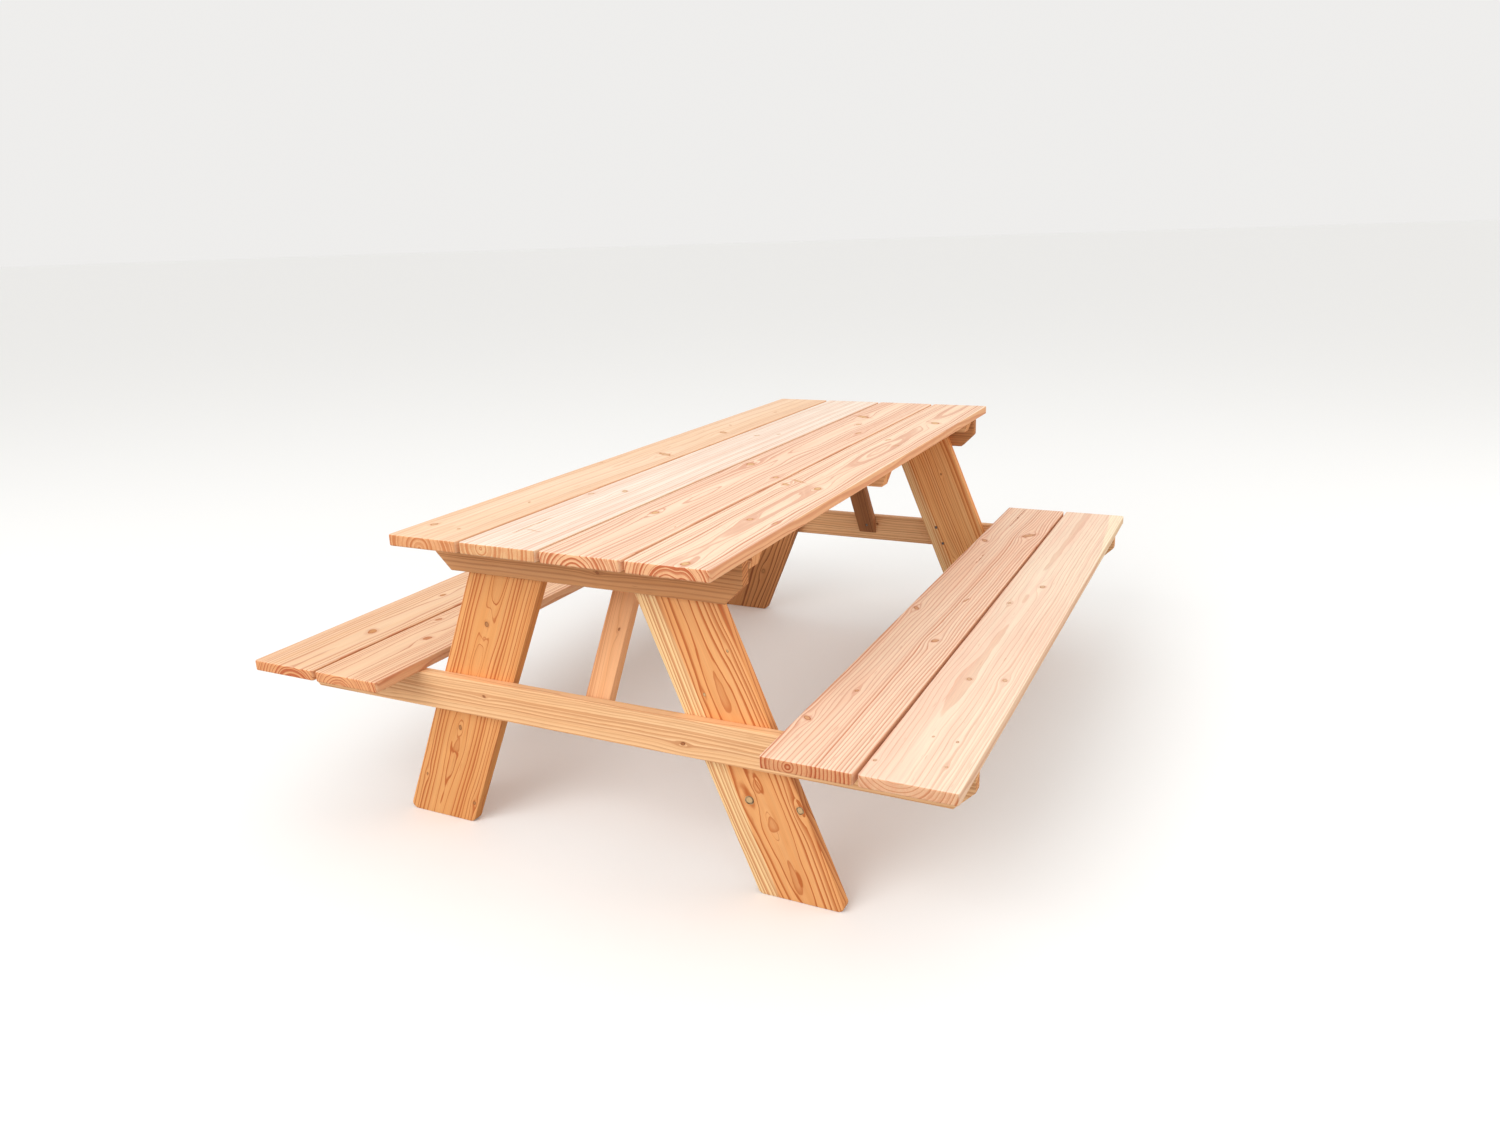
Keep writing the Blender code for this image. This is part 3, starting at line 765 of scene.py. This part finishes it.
LEG_KNOTS = {
    "front_left": (
        (-0.0144, 0.5876, 0.006, 0, 1.1, 0.007, 0.05), (-0.0109, 0.545, 0.0035, 180, 2.0, 0, 0.03, 1),
        swell(-0.003, 0.74, -0.006, 0.07), swell(-0.0151, 0.48, -0.006, 0.05),
        (-0.0127, 0.2763, 0.005, 0, 1.2, 0.004, 0.05), (-0.0092, 0.2237, 0.0085, 0, 3.2, 0, 0.05, 1),
        (-0.0723, 0.0891, 0.003, 0, 1.3, 0.002, 0.03), (0.0827, 0.094, 0.004, 20, 1.3, 0.002, 0.03),
    ),
    "front_right": (
        (-0.0259, 0.2567, 0.0115, 0, 1.0, 0.006, 0.05), (0.0858, 0.2102, 0.0085, 0, 1.05, 0.003, 0.04),
        swell(0.0069, 0.1921, -0.010, 0.07), (0.0072, 0.284, 0.0085, 0, 2.2, 0, 0.05, 1),
        (0.016, 0.505, 0.0105, 0, 5.0, 0, 0.07, 1), (0.069, 0.5887, 0.0025, 0, 1.2, 0, 0.03),
        (-0.0286, 0.5102, 0.003, 0, 1.4, 0, 0.03), (0.0069, 0.0621, 0.010, 0, 4.5, 0, 0.06, 1),
        (0.0069, 0.1921, 0.012, 0, 1.8, 0, 0.05, 1),
    ),
    "rear_left": ((0.03, 0.4, 0.005, 0, 1.2, 0.004, 0.05), (-0.03, 0.18, 0.007, 10, 1.2, 0.005, 0.05)),
    "rear_right": ((-0.03, 0.62, 0.003, 0, 1.2, 0.002, 0.04), (0.04, 0.3, 0.005, 0, 1.2, 0.004, 0.05)),
}


def foot_cut(slope):
    """Where a leaning leg starts: on the ground, with both corners rounded to an arc.

    The cut line is slope * x; past the point where an arc in a corner touches that line, the
    arc's own height takes over.
    """
    steep = math.hypot(1, slope)
    inside = LEG_WIDTH / 2 - FOOT_CORNER

    def start(x, z):
        cut = slope * x
        for side in (-1, 1):
            lift = slope * side * inside + FOOT_CORNER * steep
            beyond = np.clip(side * x - inside, -FOOT_CORNER, FOOT_CORNER)
            arc = lift - np.sqrt(FOOT_CORNER**2 - beyond**2)
            touch = inside + FOOT_CORNER * slope * side / steep
            cut = np.where(side * x > touch, arc, cut)
        return cut

    return start


for seed, (name, look) in enumerate(LEG_LOOKS.items(), start=30):
    node = f"leg_{name}"
    end_name, side_name = name.split("_")
    end, side = (-1 if end_name == "front" else 1), (-1 if side_name == "left" else 1)
    low, high = np.array(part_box(node))
    thickness, top = high[1] - low[1], high[2]
    across_half = LEG_WIDTH / 2 / math.cos(LEG_SPLAY)
    foot_outer = high[0] if side > 0 else -low[0]
    foot_x = side * (foot_outer - across_half)
    along = Vector((-side * math.sin(LEG_SPLAY), 0, math.cos(LEG_SPLAY)))
    place = lay((foot_x, (low[1] + high[1]) / 2, 0), along, (0, end, 0))
    slope = -place.to_3x3().col[0][2] / math.cos(LEG_SPLAY)

    def leg_stop(x, z):
        return top / math.cos(LEG_SPLAY) + slope * x

    size, cuts = (LEG_WIDTH, thickness), (foot_cut(slope), leg_stop)
    look, knots = {**ORANGE_LEG, **look}, LEG_KNOTS[name]
    leg = timber(node, "legs", place, size, FRAME_EASE, *cuts, LEG_ROWS, seed, look, knots)
    inward = (0, -end, 0)
    heads = [screw_head(f"screw_{node}_{height}", inward) for height in ("low", "mid", "high")]
    bored(leg, heads, inward)


# ---- Top cleats and seat beams -----------------------------------------------------------
# A rail is screwed across the outside of each pair of legs twice: a cleat directly under the
# top and a long beam that carries both benches. Their lower corners are cut off at 45 degrees.
CLEAT_CHAMFER = 0.0425
BEAM_CHAMFER = 0.044
RAIL_ROWS = 120
RAILS = {
    "top_cleat_front": (CLEAT_CHAMFER, 0.10, -0.06, ((0.01, 0.05, 0.003, 0, 1.5, 0.002, 0.05),)),
    "top_cleat_rear": (CLEAT_CHAMFER, -0.07, -0.05, ((-0.01, -0.12, 0.004, 0, 1.5, 0.002, 0.05),)),
    "seat_beam_front": (BEAM_CHAMFER, 0.12, -0.05, (
        (0.015, 0.24, 0.0045, 0, 1.4, 0.003, 0.06), (-0.01, -0.30, 0.003, 0, 1.5, 0.002, 0.05),
        (0.02, -0.62, 0.003, 0, 1.5, 0.002, 0.05),
    )),
    "seat_beam_rear": (BEAM_CHAMFER, -0.10, -0.06, (
        (0.01, 0.33, 0.005, 0, 1.4, 0.003, 0.06), (-0.015, -0.05, 0.003, 0, 1.5, 0.002, 0.05),
    )),
}
for seed, (node, (chamfer, aside, deep, knots)) in enumerate(RAILS.items(), start=40):
    end = -1 if node.endswith("front") else 1
    low, high = np.array(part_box(node))
    half_length, thickness, height = (high - low) * (0.5, 1, 1)
    place = lay((low + high) / 2, (-end, 0, 0), (0, end, 0))
    # Top cleats take the darker colours: painted shade from the top boards above them.
    tones = PAINTED_SHADE_RAIL if node.startswith("top_cleat") else TAN_RAIL
    look = {**tones, "Heart Across": aside, "Heart Depth": deep, "Ring": 0.0082}
    cuts = mirrored(lambda x, z: half_length - np.maximum(0, x - (height / 2 - chamfer)))
    size = (height, thickness)
    rail = timber(node, "rails", place, size, FRAME_EASE, *cuts, RAIL_ROWS, seed, look, knots)
    if node.startswith("seat_beam"):
        end_name = node.split("_")[-1]
        names = [f"screw_bench_{s}_{end_name}_{p}" for s in ("left", "right") for p in ("inner", "outer")]
        bored(rail, [screw_head(name, DOWN) for name in names], DOWN, reach=0.05)


# ---- Braces ------------------------------------------------------------------------------
# A strut leans from behind each seat beam up to the boards and keeps the frame from racking.
# Its foot is cut plumb, flat against the beam, and its head level under the top.
BRACE_LEAN = math.radians(33.2)
BRACE_THICKNESS = 0.028
BRACE_ROWS = 70
ORANGE_BRACE = {
    **TAN_RAIL, "Early Wood": paint(238, 181, 132), "Blush": paint(232, 169, 116), "Ring": 0.0045,
    "Heart Across": 0.02, "Heart Depth": -0.05,
}
# The rear brace's wood is darkened as painted shade: its underside lies in the shade of the table.
PAINTED_SHADE_BRACE = {
    **ORANGE_BRACE, "Early Wood": paint(176, 116, 72), "Blush": paint(162, 102, 60),
    "Late Wood": paint(110, 62, 32),
}
BRACE_KNOTS = ((0.012, 0.22, 0.003, 0, 1.3, 0.002, 0.04),)
for seed, end in ((50, -1), (51, 1)):
    node = "brace_front" if end < 0 else "brace_rear"
    low, high = np.array(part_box(node))
    width, rise = high[0] - low[0], high[2] - low[2]
    foot = Vector(((low[0] + high[0]) / 2, low[1] if end < 0 else high[1], low[2]))
    along = Vector((0, -end * math.sin(BRACE_LEAN), math.cos(BRACE_LEAN)))
    out = Vector((0, end * math.cos(BRACE_LEAN), math.sin(BRACE_LEAN)))
    place = lay(foot + out * BRACE_THICKNESS / 2, along, out)

    def brace_start(x, z):
        return (BRACE_THICKNESS / 2 + z) / math.tan(BRACE_LEAN)

    def brace_stop(x, z):
        return (rise - (BRACE_THICKNESS / 2 + z) * math.sin(BRACE_LEAN)) / math.cos(BRACE_LEAN)

    size, cuts = (width, BRACE_THICKNESS), (brace_start, brace_stop)
    # The rear brace takes the darkened colours, painted shade under the table.
    look = ORANGE_BRACE if end < 0 else PAINTED_SHADE_BRACE
    brace = timber(node, "braces", place, size, FRAME_EASE, *cuts, BRACE_ROWS, seed, look, BRACE_KNOTS)
    bored(brace, [screw_head(f"screw_{node}_low", (0, -end, 0))], (0, -end, 0))
    bored(brace, [screw_head(f"screw_{node}_high", DOWN)], DOWN)


# ---- Bench boards ------------------------------------------------------------------------
# Each bench is two boards of the same stock as the top, an inner and an outer, laid across
# the ends of the seat beams and screwed from below.
BENCH_LOOKS = {
    "right_inner": {
        **PINK_BOARD, "Early Wood": paint(253, 222, 194), "Blush": paint(250, 208, 178),
        "Late Wood": paint(206, 124, 86), "Heart Across": -0.036, "Heart Depth": 0.0017,
        "Wander": 0.006, "Ring": 0.0086, "Uneven": 0.6, "Strength": 0.8,
        "Branch Wood": paint(236, 176, 130), "Knot Rim": paint(172, 96, 56),
        "Sawn End": (0.73, 0.48, 0.31, 1),
    },
    "right_outer": {
        **CREAM_BOARD, "Early Wood": paint(251, 228, 202), "Blush": paint(248, 212, 187),
        "Late Wood": paint(214, 150, 112), "Branch Wood": paint(240, 196, 156),
        "Knot Rim": paint(176, 104, 64), "Sawn End": (0.83, 0.64, 0.50, 1),
        "Heart Across": -0.025, "Heart Depth": 0.052, "Wander": 0.014, "Ring": 0.0086, "Strength": 0.55,
        "Sapwood": paint(252, 236, 205), "Sap Side": 1.0, "Sap Line": 0.135, "Sap Slope": -0.075,
    },
    "left_inner": {
        **PINK_BOARD, "Early Wood": paint(249, 210, 172), "Blush": paint(244, 200, 160),
        "Heart Across": -0.02, "Heart Depth": -0.03, "Wander": 0.016, "Ring": 0.0086,
        "Strength": 0.95, "Edge": 0.6, "Branch Wood": paint(222, 146, 96),
    },
    "left_outer": {
        **PINK_BOARD, "Early Wood": paint(247, 209, 172), "Blush": paint(242, 198, 154),
        "Heart Across": 0.03, "Heart Depth": -0.05, "Wander": 0.02, "Ring": 0.0086, "Strength": 0.95,
        "Branch Wood": paint(226, 158, 96),
    },
}
BENCH_KNOTS = {
    "right_inner": (
        (-0.077, -0.872, 0.007, -45, 1.8, 0.002, 0.05), (-0.030, -0.70, 0.005, 0, 1.2, 0.002, 0.04),
        (0.041, -0.34, 0.008, 30, 1.6, 0.003, 0.05), (-0.075, -0.12, 0.007, -30, 1.8, 0.003, 0.05),
        (-0.070, 0.60, 0.008, -30, 2.0, 0.003, 0.05), (0.050, 0.706, 0.012, 35, 2.4, 0.004, 0.06),
        (0.032, -0.01, 0.003, 10, 6.0, 0.0, 0.04),
    ),
    "right_outer": (
        (-0.023, -0.546, 0.0065, 10, 1.3, 0.003, 0.06), (0.052, -0.524, 0.006, 0, 1.2, 0.004, 0.06),
        (-0.057, 0.005, 0.0055, 10, 1.3, 0.003, 0.05), (-0.003, 0.176, 0.008, 0, 1.3, 0.004, 0.06),
        (0.047, -0.975, 0.003, 0, 1.4, 0, 0.03), (0.038, -0.865, 0.003, 0, 1.4, 0, 0.03),
        (-0.013, -0.86, 0.0025, 0, 1.4, 0, 0.03), (-0.087, -1.0, 0.0035, 0, 1.4, 0, 0.03),
    ),
    "left_inner": (
        (0.0035, -0.786, 0.010, 20, 1.3, 0.005, 0.07), (-0.070, -0.66, 0.007, 20, 1.5, 0.003, 0.05),
        (0.02, 0.25, 0.009, 20, 1.4, 0.004, 0.07), (-0.03, 0.80, 0.006, 0, 1.2, 0.004, 0.05),
    ),
    "left_outer": (
        (0.030, -0.80, 0.012, -30, 1.4, 0.004, 0.07), (-0.002, -0.487, 0.007, 10, 1.3, 0.004, 0.06),
        (0.03, 0.15, 0.008, 30, 1.5, 0.004, 0.06), (-0.04, 0.62, 0.006, 0, 1.3, 0.003, 0.05),
    ),
}
BENCH_CHECKS = {"right_inner": ((-0.0318, 0.39, 0.10), (-0.0358, 0.93, 0.24))}
CHECK_WIDTH = 0.0016
CHECK_DEPTH = 0.006
CHECK_STATIONS = 25
CHECK_SWAY, SWAYS = 0.0004, 6
CLEAR_OF_FACE = 0.001


def drying_check(board, across, along, length):
    """Split the face along the grain, as drying does: a slit with a vee section.

    Its half width is that of a lens, width / 2 * (1 - t * t) for t from -1 to 1 along it, and
    its depth falls away in the same way.
    """
    low, high = np.array(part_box(board.name.removesuffix("_timber")))
    along_slit = np.linspace(-1, 1, CHECK_STATIONS)
    lens = 1 - along_slit**2
    side = np.array((-1, 1, 1, 0, -1)) * CHECK_WIDTH / 2
    drop = np.array((1, 1, 0, -1, 0))
    sway = CHECK_SWAY * waves(along_slit * SWAYS, 3)[:, None]
    x = (low[0] + high[0]) / 2 + across + lens[:, None] * side + sway
    y = np.broadcast_to(along + along_slit[:, None] * length / 2, x.shape)
    z = high[2] + lens[:, None] * np.where(drop > 0, CLEAR_OF_FACE, drop * CHECK_DEPTH)
    faces = grid_faces(len(along_slit), len(side))
    carve(board, closed_mesh("check", np.stack((x, y, z), axis=2), faces))


for seed, (name, look) in enumerate(BENCH_LOOKS.items(), start=10):
    board = planed_board(f"bench_board_{name}", "bench_boards", seed, look, BENCH_KNOTS[name])
    for across, along, length in BENCH_CHECKS.get(name, ()):
        drying_check(board, across, along, length)


# ---- Screws ------------------------------------------------------------------------------
# Countersunk wood screws with a six-lobed recess, in dull zinc-plated steel. Their heads sit
# just below the wood on the inner faces of the legs and on the undersides.
THREAD_PITCH = 0.0028
THREAD_ROOT = 0.0018
TIP_LENGTH = 0.006
RECESS_RADIUS = 0.0016
RECESS_DEPTH = 0.0017
LOBE = 0.0003
RIM = 0.0003
PLAIN_SHANK = 0.0005
STEPS_A_TURN = 5
RIDGE_SHARPNESS = 3.2
SCREW_AROUND = 24
STEEL_DULL, STEEL_BRIGHT = (0.16, 0.15, 0.13, 1), (0.34, 0.33, 0.30, 1)
STEEL_CLOUDS = 400.0


def screw_points(length):
    """A screw as rings: its recess, head, cone, thread and point.

    The recess is a circle whose radius swings six times round; the thread is a ridge whose
    height is a triangle wave of height / pitch plus the part of a turn, and tapers to the tip.
    """
    angle = np.linspace(0, 2 * np.pi, SCREW_AROUND, endpoint=False)
    lobe = RECESS_RADIUS + LOBE * np.cos(6 * angle)
    one = np.ones(SCREW_AROUND)
    rings = [
        (0 * one, -RECESS_DEPTH), (lobe * 0.8, -RECESS_DEPTH), (lobe, -RECESS_DEPTH + RIM),
        (lobe, -RIM), (lobe + RIM, 0.0), ((HEAD_RADIUS - RIM) * one, 0.0),
        (HEAD_RADIUS * one, -RIM), (HEAD_RADIUS * one, -2 * RIM), (THREAD_ROOT * one, -HEAD_HEIGHT),
    ]
    drop = np.arange(HEAD_HEIGHT + PLAIN_SHANK, length, THREAD_PITCH / STEPS_A_TURN)
    turns = (drop[:, None] / THREAD_PITCH + angle / (2 * np.pi)) % 1
    ridge = np.clip(1 - RIDGE_SHARPNESS * np.abs(turns - 0.5), 0, 1) * (SHANK_RADIUS - THREAD_ROOT)
    taper = np.clip((length - drop) / TIP_LENGTH, 0, 1)[:, None]
    thread = (THREAD_ROOT + ridge) * taper
    radius = np.concatenate((np.stack([ring[0] for ring in rings]), thread, 0 * one[None]))
    height = np.concatenate(([ring[1] for ring in rings], -drop, (-length,)))
    flat = np.stack((radius * np.cos(angle), radius * np.sin(angle)), axis=2)
    tall = np.broadcast_to(height[:, None, None], radius.shape + (1,))
    return np.concatenate((flat, tall), axis=2)


def zinc_steel():
    """Dull plated steel: a grey that clouds a little and is rubbed brighter in patches."""
    material, tree, shader = new_material("zinc_steel")
    held = feed(tree, "TexCoord", out=3)
    clouds = between(tree, noise(tree, held, STEEL_CLOUDS, 3.0), 0.4, 0.65)
    colour = blend(tree, clouds, STEEL_DULL, STEEL_BRIGHT)
    roughness = times_plus(tree, clouds, -0.18, 0.52)
    plug(tree, shader, {"Base Color": colour, "Roughness": roughness, "Metallic": 0.9})
    return material


STEEL = zinc_steel()
for node in sorted(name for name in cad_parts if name.startswith("screw_")):
    outward = DOWN
    if node.startswith("screw_leg") or node.endswith("_low"):
        outward = (0, 1, 0) if "front" in node else (0, -1, 0)
    points = screw_points(np.ptp(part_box(node), axis=0).max())
    stations, around = points.shape[:2]
    points = from_head(points, screw_head(node, outward), outward)
    mesh = closed_mesh(node + "_turned", points, grid_faces(stations, around))
    mesh.materials.append(STEEL)
    piece = placed(node + "_turned", mesh)
    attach(piece, "root")
    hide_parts(node)


# ---- Floor and light -------------------------------------------------------------------
# A pale floor without an edge and a soft, high light, as in a studio. The floor throws back
# less light than it shows, so the undersides stay in shade.
FLOOR_REACH = 400.0
FLOOR_SHOWN, FLOOR_THROWN = (0.97, 0.97, 0.96, 1), (0.45, 0.44, 0.42, 1)
BACKDROP, BACKDROP_STRENGTH = (1.0, 0.99, 0.975, 1), 0.86
AIMED_AT = Vector((0, 0, 0.5))
LIGHTS = {"sky": ((-2.0, -7.0, 4.6), 6.0, 340), "fill": ((6.0, 0.5, 3.2), 5.0, 110)}

floor_material, floor_tree, floor_shader = new_material("pale_floor")
seen = feed(floor_tree, "LightPath")
floor_colour = blend(floor_tree, seen, FLOOR_THROWN, FLOOR_SHOWN)
plug(floor_tree, floor_shader, {"Base Color": floor_colour, "Roughness": 0.9})
floor_mesh = bpy.data.meshes.new("floor")
floor_corners = [(x * FLOOR_REACH, y * FLOOR_REACH, 0) for x, y in ((-1, -1), (1, -1), (1, 1), (-1, 1))]
floor_mesh.from_pydata(floor_corners, [], [(0, 1, 2, 3)])
floor_mesh.materials.append(floor_material)
floor = placed("floor", floor_mesh)

world = bpy.data.worlds.new("studio")
world.use_nodes = True
backdrop = world.node_tree.nodes["Background"].inputs
plug(world.node_tree, backdrop, {"Color": BACKDROP, "Strength": BACKDROP_STRENGTH})
bpy.context.scene.world = world

for name, (place, side, watts) in LIGHTS.items():
    lamp = bpy.data.lights.new(name, "AREA")
    lamp.shape = "SQUARE"
    lamp.size = side
    lamp.energy = watts
    light = placed(name, lamp)
    light.location = place
    light.rotation_euler = (AIMED_AT - Vector(place)).to_track_quat("-Z", "Y").to_euler()
